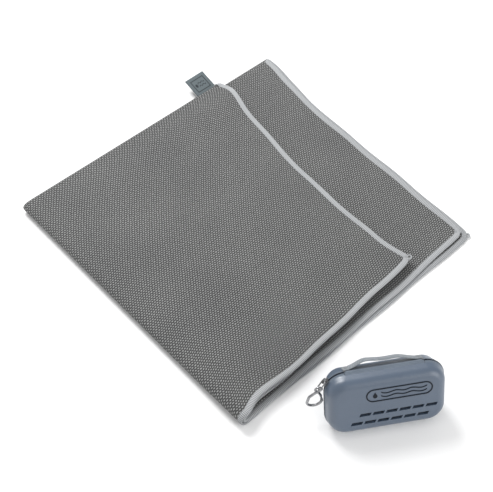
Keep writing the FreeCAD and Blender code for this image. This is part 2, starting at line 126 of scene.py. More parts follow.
class Builder:
    """Collects many small closed shapes into one mesh."""

    def __init__(self):
        self.points = []
        self.faces = []
        self.uv = []
        self.count = 0

    def add(self, points, faces, uv=None):
        points = np.asarray(points, float).reshape(-1, 3)
        self.points.append(points)
        self.faces += [[int(k) + self.count for k in f] for f in faces]
        self.uv.append(np.zeros((len(points), 2)) if uv is None else np.asarray(uv, float).reshape(-1, 2))
        self.count += len(points)

    def tube(self, centres, radius, sides=8, closed=False, normal=None):
        """A round tube along a line of points, with domed ends."""
        centres = np.asarray(centres, float)
        n = len(centres)
        if closed:
            tangent = np.roll(centres, -1, 0) - np.roll(centres, 1, 0)
        else:
            tangent = np.gradient(centres, axis=0)
        tangent /= np.linalg.norm(tangent, axis=1)[:, None]
        ref = np.array([0.0, 0.0, 1.0]) if normal is None else np.asarray(normal, float)
        if abs(tangent[0] @ ref) > 0.9:
            ref = np.array([0.0, 1.0, 0.0])
        side = np.zeros_like(centres)
        a = ref - tangent[0] * (ref @ tangent[0])
        for k in range(n):
            a = a - tangent[k] * (a @ tangent[k])
            a /= np.linalg.norm(a)
            side[k] = a
        other = np.cross(tangent, side)
        r = np.broadcast_to(np.asarray(radius, float), (n,))
        turn = np.linspace(0, 2 * math.pi, sides, endpoint=False)
        cos, sin = np.cos(turn)[None, :, None], np.sin(turn)[None, :, None]
        ring = centres[:, None] + r[:, None, None] * (cos * side[:, None] + sin * other[:, None])
        points = ring.reshape(-1, 3)
        faces = grid_faces(n, sides, closed=True).tolist()
        if closed:
            faces += closing_faces(n, sides)
        else:
            first = centres[0] - tangent[0] * r[0] * 0.6
            end = centres[-1] + tangent[-1] * r[-1] * 0.6
            points = np.vstack([points, first, end])
            a0, b0 = n * sides, n * sides + 1
            faces += [[(j + 1) % sides, j, a0] for j in range(sides)]
            base = (n - 1) * sides
            faces += [[base + j, base + (j + 1) % sides, b0] for j in range(sides)]
        self.add(points, faces)

    def block(self, centre, axes, half, bevel=0.3):
        """A small block with its edges cut back, as a closed mesh of 24 points."""
        centre = np.asarray(centre, float)
        axes = np.asarray(axes, float)
        half = np.asarray(half, float)
        cut = bevel * half.min()
        points = []
        key = {}
        for sx in (-1, 1):
            for sy in (-1, 1):
                for sz in (-1, 1):
                    s = np.array([sx, sy, sz], float)
                    for k in range(3):
                        inner = half - cut
                        inner[k] = half[k]
                        key[(sx, sy, sz, k)] = len(points)
                        points.append(centre + (s * inner) @ axes)
        faces = []
        for k in range(3):
            a, b = [i for i in range(3) if i != k]
            for sign in (-1, 1):
                loop = []
                for sa, sb in ((-1, -1), (1, -1), (1, 1), (-1, 1)):
                    s = [0, 0, 0]
                    s[k], s[a], s[b] = sign, sa, sb
                    loop.append(key[(*s, k)])
                faces.append(loop)
        for k in range(3):
            a, b = [i for i in range(3) if i != k]
            for sa in (-1, 1):
                for sb in (-1, 1):
                    low, high = [0, 0, 0], [0, 0, 0]
                    low[k], high[k] = -1, 1
                    low[a] = high[a] = sa
                    low[b] = high[b] = sb
                    faces.append([key[(*low, a)], key[(*high, a)], key[(*high, b)], key[(*low, b)]])
        for sx in (-1, 1):
            for sy in (-1, 1):
                for sz in (-1, 1):
                    faces.append([key[(sx, sy, sz, k)] for k in range(3)])
        self.add(points, faces)

    def object(self, name, smooth=True):
        obj = make_mesh(name, np.vstack(self.points), self.faces, np.vstack(self.uv), smooth)
        outward_normals(obj)
        return obj


def outward_normals(obj):
    """Makes every closed shell of a mesh face outwards."""
    bm = bmesh.new()
    bm.from_mesh(obj.data)
    bmesh.ops.recalc_face_normals(bm, faces=bm.faces)
    bm.to_mesh(obj.data)
    bm.free()


# ------------------------------------------------------------------ materials
def material(name):
    mat = bpy.data.materials.new(name)
    mat.use_nodes = True
    tree = mat.node_tree
    return mat, tree, tree.nodes["Principled BSDF"]


def node(tree, kind, inputs=None, **settings):
    n = tree.nodes.new(kind)
    for key, value in settings.items():
        setattr(n, key, value)
    for key, value in (inputs or {}).items():
        if hasattr(value, "is_output"):
            tree.links.new(value, n.inputs[key])
        else:
            n.inputs[key].default_value = value
    return n


def maths(tree, operation, a, b=0.0, clamp=False):
    n = node(tree, "ShaderNodeMath", {0: a, 1: b}, operation=operation, use_clamp=clamp)
    return n.outputs[0]


def multiply_add(tree, a, b, c):
    return node(tree, "ShaderNodeMath", {0: a, 1: b, 2: c}, operation="MULTIPLY_ADD").outputs[0]


def ramp(tree, value, stops):
    n = node(tree, "ShaderNodeValToRGB", {"Fac": value})
    while len(n.color_ramp.elements) < len(stops):
        n.color_ramp.elements.new(0.5)
    for element, (place, colour) in zip(n.color_ramp.elements, stops):
        element.position = place
        element.color = (*colour, 1.0)
    return n.outputs["Color"]


def noise(tree, vector, scale, detail=3.0, roughness=0.5):
    n = node(tree, "ShaderNodeTexNoise",
             {"Vector": vector, "Scale": scale, "Detail": detail, "Roughness": roughness})
    return n.outputs["Fac"]


def bump(tree, shader, height, strength, distance):
    n = node(tree, "ShaderNodeBump", {"Height": height, "Strength": strength, "Distance": distance})
    tree.links.new(n.outputs["Normal"], shader.inputs["Normal"])


def half_wave(tree, turns):
    """From 0 to 1 and back, once for each turn."""
    return multiply_add(tree, maths(tree, "SINE", turns), 0.5, 0.5)


def phase(tree, coordinate, pitch, offset=0.0):
    return multiply_add(tree, coordinate, 2 * math.pi / pitch, offset)


WEAVE_ROW = 0.0028           # from one row of the weave to the next, in metres
WEAVE_CELL = 0.0040          # and from one raised cell to the next along a row


def towel_material():
    """Pebbled quick-dry weave: raised cells in staggered rows, with painted shade in the gaps between them.
    """
    mat, tree, shader = material("towel_cloth")
    coords = node(tree, "ShaderNodeUVMap").outputs["UV"]
    split = node(tree, "ShaderNodeSeparateXYZ", {"Vector": coords})
    along, across = split.outputs["X"], split.outputs["Y"]
    stray_u = maths(tree, "SUBTRACT", noise(tree, coords, 170.0, 2.0), 0.5)
    moved = node(tree, "ShaderNodeVectorMath", {0: coords, 1: (0.37, 0.19, 0.0)}, operation="ADD").outputs[0]
    stray_v = maths(tree, "SUBTRACT", noise(tree, moved, 150.0, 2.0), 0.5)
    u = multiply_add(tree, stray_u, 0.0026, along)
    v = multiply_add(tree, stray_v, 0.0018, across)
    row = maths(tree, "SINE", phase(tree, v, 2 * WEAVE_ROW))
    column = maths(tree, "SINE", phase(tree, u, WEAVE_CELL))
    cells = maths(tree, "MULTIPLY", row, column)
    ribs = maths(tree, "ABSOLUTE", row)
    knit = multiply_add(tree, ribs, 0.66, maths(tree, "MULTIPLY", cells, 0.34))
    fuzz = noise(tree, coords, 1100.0, 3.0, 0.7)
    height = multiply_add(tree, fuzz, 0.30, knit)
    # Painted shade: the colour darkens in the low gaps between the raised cells, mixed with random fuzz
    # flecks.
    fuzz_and_gap_shade = multiply_add(tree, fuzz, 0.60, maths(tree, "SUBTRACT", knit, 0.30))
    tone = noise(tree, coords, 9.0, 3.0)
    base = ramp(tree, fuzz_and_gap_shade, [(0.08, (0.030, 0.031, 0.031)), (0.34, (0.082, 0.083, 0.083)),
                               (0.58, (0.168, 0.170, 0.169)), (0.86, (0.320, 0.323, 0.320))])
    shade = ramp(tree, tone, [(0.3, (0.90, 0.90, 0.905)), (0.7, (1.05, 1.05, 1.045))])
    mix = node(tree, "ShaderNodeMix", {0: 1.0, 6: base, 7: shade}, data_type="RGBA", blend_type="MULTIPLY")
    tree.links.new(mix.outputs[2], shader.inputs["Base Color"])
    tree.links.new(ramp(tree, fuzz, [(0.2, (0.86,) * 3), (0.8, (0.98,) * 3)]), shader.inputs["Roughness"])
    shader.inputs["Sheen Weight"].default_value = 0.12
    shader.inputs["Sheen Roughness"].default_value = 0.5
    shader.inputs["Specular IOR Level"].default_value = 0.2
    bump(tree, shader, height, 0.9, 0.0009)
    return mat


def cloth_like(name, low, high, scale, weave, depth, rough=0.85, sheen=0.15, slant=0.0, gloss=0.25):
    """A woven fabric in object coordinates: two crossing threads, with fuzz and tone."""
    mat, tree, shader = material(name)
    coords = node(tree, "ShaderNodeTexCoord").outputs["Object"]
    split = node(tree, "ShaderNodeSeparateXYZ", {"Vector": coords})
    x, y, z = (split.outputs[k] for k in "XYZ")
    a = maths(tree, "ADD", x, maths(tree, "MULTIPLY", y, slant))
    b = maths(tree, "ADD", z, maths(tree, "MULTIPLY", y, 0.6))
    warp = half_wave(tree, phase(tree, a, weave))
    weft = half_wave(tree, phase(tree, b, weave))
    threads = maths(tree, "MULTIPLY", warp, weft)
    fuzz = noise(tree, coords, scale, 3.0, 0.65)
    height = multiply_add(tree, fuzz, 0.4, threads)
    patches = maths(tree, "MULTIPLY", noise(tree, coords, scale * 0.02, 2.0), 0.3)
    tone = multiply_add(tree, threads, 0.45, patches)
    tone = multiply_add(tree, fuzz, 0.25, tone)
    tree.links.new(ramp(tree, tone, [(0.2, low), (0.85, high)]), shader.inputs["Base Color"])
    shader.inputs["Specular IOR Level"].default_value = gloss
    tree.links.new(ramp(tree, fuzz, [(0.25, (rough - 0.07,) * 3), (0.75, (min(rough + 0.06, 1.0),) * 3)]),
                   shader.inputs["Roughness"])
    shader.inputs["Sheen Weight"].default_value = sheen
    bump(tree, shader, height, 0.5, depth)
    return mat


STITCH_PITCH = 2.0           # of the overlock threads


def thread_material():
    """Light overlock thread, with fine twist across each stitch."""
    mat, tree, shader = material("hem_thread")
    coords = node(tree, "ShaderNodeUVMap").outputs["UV"]
    split = node(tree, "ShaderNodeSeparateXYZ", {"Vector": coords})
    strand = half_wave(tree, phase(tree, split.outputs["X"], STITCH_PITCH * MM))
    twist = noise(tree, coords, 2600.0, 2.0, 0.6)
    height = multiply_add(tree, twist, 0.35, strand)
    colour = ramp(tree, strand, [(0.0, (0.090, 0.095, 0.102)), (0.40, (0.29, 0.300, 0.310)),
                                 (1.0, (0.50, 0.513, 0.525))])
    tree.links.new(colour, shader.inputs["Base Color"])
    tree.links.new(ramp(tree, twist, [(0.2, (0.62,) * 3), (0.8, (0.8,) * 3)]), shader.inputs["Roughness"])
    shader.inputs["Sheen Weight"].default_value = 0.12
    bump(tree, shader, height, 0.55, 0.0003)
    return mat


def metal(name, colour, rough, wear):
    """Plated metal with fine scratches and rubbed lighter patches."""
    mat, tree, shader = material(name)
    coords = node(tree, "ShaderNodeTexCoord").outputs["Object"]
    rubbed = noise(tree, coords, 240.0, 4.0, 0.6)
    fine = noise(tree, coords, 2600.0, 3.0, 0.7)
    tree.links.new(ramp(tree, rubbed, [(0.35, colour), (0.75, wear)]), shader.inputs["Base Color"])
    dull = ramp(tree, fine, [(0.2, (rough - 0.06,) * 3), (0.8, (rough + 0.12,) * 3)])
    tree.links.new(dull, shader.inputs["Roughness"])
    shader.inputs["Metallic"].default_value = 1.0
    bump(tree, shader, fine, 0.12, 0.00008)
    return mat


def label_material():
    """Woven label: grey-teal twill with a plain darker frame, a drop and two wavy bars."""
    mat, tree, shader = material("woven_label")
    coords = node(tree, "ShaderNodeUVMap").outputs["UV"]
    split = node(tree, "ShaderNodeSeparateXYZ", {"Vector": coords})
    x, y = split.outputs["X"], split.outputs["Y"]

    def inside(value, centre, half, soft=0.0004):
        far = maths(tree, "ABSOLUTE", maths(tree, "SUBTRACT", value, centre))
        n = node(tree, "ShaderNodeMapRange", {"Value": far, "From Min": half - soft, "From Max": half + soft,
                                             "To Min": 1.0, "To Max": 0.0})
        return n.outputs[0]

    outer = maths(tree, "MULTIPLY", inside(x, 0.0, 0.0115), inside(y, 0.017, 0.0105))
    inner = maths(tree, "MULTIPLY", inside(x, 0.0, 0.0102), inside(y, 0.017, 0.0092))
    frame_line = maths(tree, "SUBTRACT", outer, inner, clamp=True)
    wavy = multiply_add(tree, maths(tree, "SINE", phase(tree, x, 0.0052)), 0.0009, y)
    bars = maths(tree, "MAXIMUM", inside(wavy, 0.0145, 0.0007), inside(wavy, 0.0195, 0.0007))
    bars = maths(tree, "MULTIPLY", bars, inside(x, 0.0022, 0.0058))
    drop_x = maths(tree, "DIVIDE", maths(tree, "SUBTRACT", x, -0.0066), 0.0019)
    drop_y = maths(tree, "DIVIDE", maths(tree, "SUBTRACT", y, 0.017), 0.0030)
    far = maths(tree, "ADD", maths(tree, "MULTIPLY", drop_x, drop_x), maths(tree, "MULTIPLY", drop_y, drop_y))
    drop = maths(tree, "LESS_THAN", far, 1.0)
    mark = maths(tree, "MAXIMUM", maths(tree, "MAXIMUM", frame_line, bars), drop)
    twill = half_wave(tree, phase(tree, maths(tree, "ADD", x, y), 0.0007))
    tone = multiply_add(tree, twill, 0.5, noise(tree, coords, 1500.0))
    ground = ramp(tree, tone, [(0.3, (0.048, 0.063, 0.070)), (0.95, (0.115, 0.142, 0.153))])
    mix = node(tree, "ShaderNodeMix", {0: mark, 6: ground, 7: (0.012, 0.018, 0.024, 1)}, data_type="RGBA")
    tree.links.new(mix.outputs[2], shader.inputs["Base Color"])
    tree.links.new(ramp(tree, twill, [(0.0, (0.7,) * 3), (1.0, (0.85,) * 3)]), shader.inputs["Roughness"])
    bump(tree, shader, twill, 0.4, 0.00018)
    return mat


TOWEL = towel_material()
THREAD = thread_material()
LABEL = label_material()
SKIN = cloth_like("case_skin", (0.050, 0.076, 0.118), (0.092, 0.130, 0.188),
                  scale=1500.0, weave=0.00072, depth=0.00010, rough=0.34, sheen=0.04, gloss=0.9)
LINING = cloth_like("case_lining", (0.010, 0.014, 0.022), (0.060, 0.078, 0.105),
                    scale=1800.0, weave=0.0011, depth=0.0002, rough=0.9, sheen=0.1)
TAPE = cloth_like("zip_tape", (0.085, 0.108, 0.140), (0.185, 0.222, 0.268),
                  scale=2200.0, weave=0.0008, depth=0.0003, rough=0.8, sheen=0.15, slant=0.8)
STRAP = cloth_like("strap_webbing", (0.15, 0.170, 0.19), (0.36, 0.385, 0.41),
                   scale=2000.0, weave=0.0013, depth=0.0004, rough=0.8, sheen=0.2, slant=1.0)
TEETH = cloth_like("zip_teeth", (0.010, 0.014, 0.024), (0.030, 0.040, 0.062),
                   scale=2400.0, weave=0.0010, depth=0.0001, rough=0.38, sheen=0.0)
PRINT = cloth_like("badge_print", (0.005, 0.007, 0.011), (0.014, 0.018, 0.027),
                   scale=2400.0, weave=0.0009, depth=0.00008, rough=0.5, sheen=0.0, gloss=0.2)
GUNMETAL = metal("gunmetal", (0.20, 0.205, 0.215), 0.24, (0.42, 0.42, 0.43))
STEEL = metal("spring_steel", (0.36, 0.36, 0.37), 0.25, (0.52, 0.52, 0.53))


def dress(obj, mat):
    obj.data.materials.clear()
    obj.data.materials.append(mat)
    return obj


# ------------------------------------------------------------------ towel: one sheet, folded twice
LAYER_Z = {4: 1.65, 3: 4.78, 2: 11.0, 1: 14.4}    # middle of each layer's cloth
HALF_CLOTH = 0.95
FOLD_START = 12.0            # where the layers begin to curve into the main fold
ROLL_START = 6.0             # and into the second fold
BEND_LOW, BEND_HIGH = 7.0, 9.0    # no cloth beyond the main fold may lie between these heights, between the two halves
CORNER = 12.0
FOLD_LENGTH = 437.0          # of the main fold, from the second fold to the open ends
LOWER_NEAR_V, UPPER_NEAR_V = 424.0, 405.0    # where the two halves' far corners lie along it
INNER_NOSE = 3.5             # how far the inner layers' fold stays from the outer fold's tip
HOLLOW = 2.2                 # how far the inner fold stands back from the outer one at its open end

LOWER_EDGE_U = ((0, 440.0), (11, 441.0), (28, 438.0), (54, 432.0), (97, 425.5), (160, 421.5),
                (300, 417.5), (424, 413.0))
UPPER_EDGE_U = ((0, 343.5), (8, 348.0), (18, 348.5), (40, 343.5), (63, 337.0), (87, 332.5), (130, 326.0),
                (200, 316.5), (300, 311.5), (364, 312.5), (405, 320.5))


def smooth_curve(table, x):
    """A soft curve through (place, value) pairs."""
    places = np.array([t[0] for t in table], float)
    values = np.array([t[1] for t in table], float)
    fine = np.linspace(places[0], places[-1], 400)
    raw = np.interp(fine, places, values)
    kernel = np.hanning(41)
    kernel /= kernel.sum()
    padded = np.concatenate([np.full(20, raw[0]), raw, np.full(20, raw[-1])])
    return np.interp(x, fine, np.convolve(padded, kernel, "valid"))


def stations(length, coarse, fine, fine_span):
    """Places from 0 to length: closer together over the last stretch."""
    main = np.linspace(0, length - fine_span, max(2, int(round((length - fine_span) / coarse)) + 1))
    end = np.linspace(length - fine_span, length, int(round(fine_span / fine)) + 1)[1:]
    return np.concatenate([main, end]) / length


def ripple(u, v, seed):
    """Soft unevenness of a laid cloth, between about -1 and 1."""
    rng = np.random.default_rng(seed)
    total = np.zeros_like(u)
    for length, weight in ((190, 0.42), (120, 0.34), (74, 0.22), (46, 0.13), (27, 0.06)):
        for _ in range(3):
            angle = rng.uniform(0, math.pi)
            shift = rng.uniform(0, 2 * math.pi)
            wave = 2 * math.pi / (length * rng.uniform(0.85, 1.2))
            total += weight / 1.7 * np.sin(wave * (u * math.cos(angle) + v * math.sin(angle)) + shift)
    return total


def layer_plan(layer, f, g):
    """Plan place of a layer's point at fractions f along u and g along v of its flat part."""
    if layer in (4, 3):
        inset = 0.0 if layer == 4 else 5.2
        along = g * LOWER_NEAR_V
        far = smooth_curve(LOWER_EDGE_U, along) - inset
        near = FOLD_LENGTH - (FOLD_LENGTH - LOWER_NEAR_V) * f - inset * (0.7 * f + 1.3 * f ** 4)
    else:
        inset = 0.0 if layer == 1 else 6.5
        along = g * UPPER_NEAR_V
        far = smooth_curve(UPPER_EDGE_U, along) - inset
        reach = FOLD_START + f * 320.0
        setback = 6.0 * (1 - np.exp(-((reach - 8) / 18.0) ** 2)) * np.exp(-((reach - 16) / 62.0) ** 2)
        near = FOLD_LENGTH - (FOLD_LENGTH - UPPER_NEAR_V) * f - inset * f - setback
    wave = 0.7 * np.sin(along / 17.0 + layer) * f ** 6
    wave_v = 0.7 * np.sin(f * 21.0 + 2 * layer) * g ** 6
    hollow = HOLLOW * np.exp(-((g - 1) * FOLD_LENGTH / 40.0) ** 2) if layer in (2, 3) else 0.0
    start = FOLD_START + hollow
    u = start + f * (far + wave - start)
    v = ROLL_START + g * (near + wave_v - ROLL_START)
    return u, v


def rounded_corner(u, v, f, g, far, near):
    """Pulls the far corner of a layer in to a quarter circle."""
    x = np.clip(1 - (far - u) / CORNER, 0, 1)
    y = np.clip(1 - (near - v) / CORNER, 0, 1)
    nx = x * np.sqrt(1 - y * y / 2)
    ny = y * np.sqrt(1 - x * x / 2)
    return u - (x - nx) * CORNER, v - (y - ny) * CORNER


def flat_layer(layer, f, g):
    """Points of a layer beyond both folds."""
    f, g = np.meshgrid(f, g, indexing="ij")
    u, v = layer_plan(layer, f, g)
    far, near = layer_plan(layer, np.ones_like(f), g)[0], layer_plan(layer, f, np.ones_like(g))[1]
    u, v = rounded_corner(u, v, f, g, far, near)
    calm = np.clip((u - FOLD_START) / 40, 0, 1) * np.clip((v - ROLL_START) / 30, 0, 1)
    amplitude = {4: 0.16, 3: 0.22, 2: 0.3, 1: 0.85}[layer]
    z = LAYER_Z[layer] + amplitude * calm * ripple(u, v, 11 if layer in (1, 2) else 23)
    if layer == 1:
        crown = (1 - np.exp(-(v / 26.0) ** 2)) * (1 - np.exp(-(u / 30.0) ** 2))
        hump = np.exp(-((u - 322) / 62) ** 2 - ((v - 34) / 44) ** 2)
        valley = np.exp(-((u - 60) / 70) ** 2 - ((v - 70) / 60) ** 2)
        mouth = np.exp(-((u - 18) / 52) ** 2 - ((v - FOLD_LENGTH) / 60) ** 2)
        z = z + 2.6 * crown + 5.0 * hump * crown - 1.2 * valley * crown + 7.0 * mouth
    if layer == 3:
        z = z - 0.55 * np.exp(-(v / 22.0) ** 2)
    if layer == 2:
        z = z + 5.0 * np.exp(-((u - 18) / 50) ** 2 - ((v - FOLD_LENGTH) / 55) ** 2)
    if layer == 4:
        z = np.maximum(z, HALF_CLOTH + 0.12)
    return np.stack([u, v, z], axis=-1)


def towel_grid():
    """The cloth's middle surface. Rows run across the main fold, columns across the second."""
    f = {half: stations(length, 4.2, 1.7, 14.0) for half, length in (("low", 425.0), ("up", 331.0))}
    g = stations(431.0, 4.2, 1.7, 14.0)
    turn = np.linspace(-90, 90, 29)[1:-1]
    roll = np.linspace(-90, 90, 15)[1:-1]
    layers = {n: flat_layer(n, f["low" if n > 2 else "up"], g) for n in (1, 2, 3, 4)}

    def main_fold(bottom, top, depth):
        """From the edge of the bottom layer round to the top one: one row for each step."""
        rows = []
        for a in np.radians(turn):
            s = (1 + math.sin(a)) / 2
            p = bottom * (1 - s) + top * s
            p[:, 0] = bottom[:, 0] * (1 - s) + top[:, 0] * s - depth * math.cos(a)
            rows.append(p)
        return np.array(rows)

    outer_fold = main_fold(layers[4][0], layers[1][0], FOLD_START - HALF_CLOTH - 0.1)
    inner_fold = main_fold(layers[3][0], layers[2][0], FOLD_START - INNER_NOSE)
    outer = np.concatenate([layers[4][::-1], outer_fold, layers[1]])
    inner = np.concatenate([layers[3][::-1], inner_fold, layers[2]])
    columns = []
    for a in np.radians(roll):
        s = (1 + math.sin(a)) / 2
        p = outer[:, 0] * (1 - s) + inner[:, 0] * s
        p[:, 1] = ROLL_START - (ROLL_START - HALF_CLOTH - 0.1) * math.cos(a)
        columns.append(p)
    roll_grid = np.array(columns).transpose(1, 0, 2)
    grid = np.concatenate([outer[:, ::-1], roll_grid, inner], axis=1)
    return grid, len(f["low"]), len(g)


def grid_normals(grid):
    du = np.gradient(grid, axis=0)
    dv = np.gradient(grid, axis=1)
    n = np.cross(du, dv)
    size = np.linalg.norm(n, axis=-1)[..., None]
    return n / np.maximum(size, 1e-9)


def path_lengths(points):
    return np.concatenate([[0], np.cumsum(np.linalg.norm(np.diff(points, axis=0), axis=1))])


GRID, LOW_ROWS, SIDE_COLS = towel_grid()
NORMALS = grid_normals(GRID)
ROWS, COLS = GRID.shape[:2]


def towel_sheet():
    """The whole towel as a closed sheet of even thickness."""
    up = GRID + NORMALS * HALF_CLOTH
    down = GRID - NORMALS * HALF_CLOTH
    along = path_lengths(GRID[:, SIDE_COLS // 2])
    across = path_lengths(GRID[LOW_ROWS // 2])
    uv = np.stack(np.meshgrid(along * MM, across * MM, indexing="ij"), axis=-1)
    return closed_sheet("towel", up, down, towel_point, uv)


def check_bend(points, name):
    """Stops if cloth beyond the main fold reaches the heights between BEND_LOW and BEND_HIGH."""
    flat = points[points[:, 0] > FOLD_START + 1]
    middle = flat[(flat[:, 2] > BEND_LOW) & (flat[:, 2] < BEND_HIGH)]
    if len(middle):
        raise ValueError(f"{name}: {len(middle)} points between the halves")


def bend_over_main_fold(obj):
    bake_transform(obj)


def overlock():
    """Overlocked edge all round the cloth: raised threads across a band that wraps the rim."""
    rim = rim_cells(ROWS, COLS)
    line = np.array([GRID[i, j] for i, j in rim])
    normal = np.array([NORMALS[i, j] for i, j in rim])
    inner = []
    for i, j in rim:
        a = min(max(i, 2), ROWS - 3)
        b = min(max(j, 2), COLS - 3)
        inner.append(GRID[a, b] - GRID[i, j])
    inner = np.array(inner)
    loop = np.vstack([line, line[:1]])
    length = path_lengths(loop)
    step = 0.34
    count = int(length[-1] / step)
    place = np.linspace(0, length[-1], count, endpoint=False)

    def along(values):
        closed = np.vstack([values, values[:1]])
        return np.stack([np.interp(place, length, closed[:, k]) for k in range(3)], axis=-1)

    def soften(values, width):
        kernel = np.hanning(width)
        kernel /= kernel.sum()
        pad = width // 2
        wrapped = np.vstack([values[-pad:], values, values[:pad]])
        return np.stack([np.convolve(wrapped[:, k], kernel, "valid") for k in range(3)], axis=-1)

    centre = soften(along(line), 25)
    tangent = np.roll(centre, -2, 0) - np.roll(centre, 2, 0)
    tangent = soften(tangent, 15)
    tangent /= np.linalg.norm(tangent, axis=1)[:, None]
    n = soften(along(normal), 31)
    n -= tangent * np.sum(n * tangent, axis=1)[:, None]
    n /= np.linalg.norm(n, axis=1)[:, None]
    inward = np.cross(n, tangent)
    toward = along(inner)
    inward *= np.sign(np.sum(inward * toward, axis=1))[:, None]
    inward = soften(inward, 41)
    inward /= np.linalg.norm(inward, axis=1)[:, None]

    sides = 14
    angle = np.linspace(0, 2 * math.pi, sides, endpoint=False)
    rng = np.random.default_rng(5)
    spots = np.arange(0, length[-1] + 3, 3.0)
    drift = rng.uniform(-0.12, 0.12, int(length[-1] / 3.0) + 2)[: len(spots)]
    jitter = np.interp(place, spots, drift)
    turns = 2 * math.pi * (place + jitter)[:, None] / STITCH_PITCH + 0.5 * np.cos(angle)[None, :]
    ridge = 0.5 + 0.5 * np.cos(turns)
    half_width = 4.1
    half_height = 1.45
    cos, sin = np.cos(angle)[None, :], np.sin(angle)[None, :]
    bulge = 1 - 0.12 * (cos > 0.5)
    out_in = (half_width + 0.16 * ridge) * cos
    up_down = (half_height * bulge + 0.30 * ridge) * np.sign(sin) * np.abs(sin) ** 0.8
    ring = centre[:, None] + inward[:, None] * (3.3 + out_in)[..., None] + n[:, None] * up_down[..., None]
    ring[..., 2] = np.maximum(ring[..., 2], 0.03)
    points = ring.reshape(-1, 3)
    faces = grid_faces(count, sides, closed=True).tolist() + closing_faces(count, sides)
    uv = np.stack(np.broadcast_arrays(place[:, None] * MM, angle[None, :] * MM * 2.2), axis=-1)
    obj = make_mesh("towel_overlock", towel_point(points), faces, uv)
    outward_normals(obj)
    return obj, points


def corner_eyelets(name, corners, body, seed):
    """The overlock thread drawn into a small tight loop at each corner, with a wrapped neck."""
    rng = np.random.default_rng(seed)
    b = Builder()
    for u0, v0, z0 in corners:
        ahead = np.array([math.cos(0.78), math.sin(0.78)])
        turn = np.linspace(0, 2 * math.pi, 30, endpoint=False)
        for k in range(2):
            radius = 2.7 + 0.35 * k + 0.12 * rng.uniform(-1, 1)
            u = u0 + radius * np.cos(turn) * 1.12
            v = v0 + radius * np.sin(turn)
            z = z0 + 0.25 * np.sin(2 * turn + rng.uniform(0, 3)) + 0.45 * k - 0.2
            b.tube(towel_point(np.stack([u, v, z], axis=-1)), (0.98 - 0.1 * k) * MM, sides=9, closed=True)
        for k in range(4):
            back = -1.6 - 0.85 * k
            centre = np.array([u0 + ahead[0] * back, v0 + ahead[1] * back, z0])
            across = np.array([-ahead[1], ahead[0], 0.0])
            ring = centre + 2.2 * np.cos(turn)[:, None] * across + 1.6 * np.sin(turn)[:, None] * [0, 0, 1.0]
            b.tube(towel_point(ring), 0.42 * MM, sides=7, closed=True, normal=(0.3, 0.2, 0.9))
    obj = b.object(name)
    dress(obj, THREAD)
    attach(obj, body)
    return obj


TAB_U = 323.0                # the tab's middle along the second fold


def woven_tab():
    """Folded label standing out of the second fold, with a soft curl."""
    half, reach, sewn, thick = 16.5, 33.0, 13.0, 1.15
    a = np.linspace(-half, half, 19)
    b = np.linspace(sewn, -reach, 29)
    aa, bb = np.meshgrid(a, b)
    out = np.clip(-bb / reach, 0, 1)
    rise = 6.5 * out ** 1.3 + 0.4 * np.sin(math.pi * out) + 0.3 * out * np.sin(aa / 9.0)
    z = 9.35 + rise
    side = TAB_U + aa * (1 - 0.012 * out) + 1.4 * out
    middle = np.stack([side, bb, z], axis=-1)
    n = grid_normals(middle)
    n *= np.sign(n[..., 2:3])
    edge = np.minimum(1, (half - np.abs(aa)) / 0.8 + 0.55)
    fold = np.minimum(1, (bb + reach) / 0.9 + 0.5)
    h = (thick / 2 * np.minimum(edge, fold))[..., None]
    uv = np.stack([aa * MM, -bb * MM], axis=-1)
    obj, _ = closed_sheet("towel_tab", middle + n * h, middle - n * h, towel_point, uv)
    dress(obj, LABEL)
    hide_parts("woven_tab")
    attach(obj, "towel_upper")
    return obj


def tab_stitches():
    """Two rows of short lockstitches that hold the tab."""
    b = Builder()
    for row in (4.0, 9.5):
        for k in range(11):
            u = TAB_U - 14.0 + k * 2.8
            t = np.linspace(0, 1, 7)
            line = np.stack([u - 1.05 + 2.1 * t, np.full(7, row), 8.62 - 0.30 * np.sin(math.pi * t)], axis=-1)
            b.tube(towel_point(line), 0.26 * MM, sides=6)
    obj = b.object("tab_seam")
    dress(obj, THREAD)
    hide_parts("tab_stitching")
    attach(obj, "towel_upper")
    return obj


towel, towel_points = towel_sheet()
check_bend(towel_points, "towel")
dress(towel, TOWEL)
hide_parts("towel_lower_half", "towel_upper_half")
hem, hem_points = overlock()
check_bend(hem_points, "towel_overlock")
dress(hem, THREAD)
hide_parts("hem_layer_1", "hem_layer_2", "hem_layer_3", "hem_layer_4")
bend_over_main_fold(towel)
bend_over_main_fold(hem)
tails_low = corner_eyelets("lower_corner_loops", ((409.4, 420.4, 2.0), (403.0, 409.4, 4.8)),
                           "towel_lower", 3)
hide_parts("lower_corner_knots")
tails_up = corner_eyelets("upper_corner_loops", ((317.4, 401.2, 17.0), (310.6, 394.2, 11.1)),
                          "towel_upper", 7)
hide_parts("upper_corner_knots")
tab = woven_tab()
seam = tab_stitches()

# ------------------------------------------------------------------ case
CASE_LENGTH, CASE_HEIGHT, CASE_CORNER = 142.0, 80.0, 24.0
BACK_DRAFT, FRONT_DRAFT = 20.0, 12.0         # of the shells' walls, in degrees
STRAP_WIDTH, STRAP_RISE, STRAP_FLAT = 11.0, 9.0, 39.0


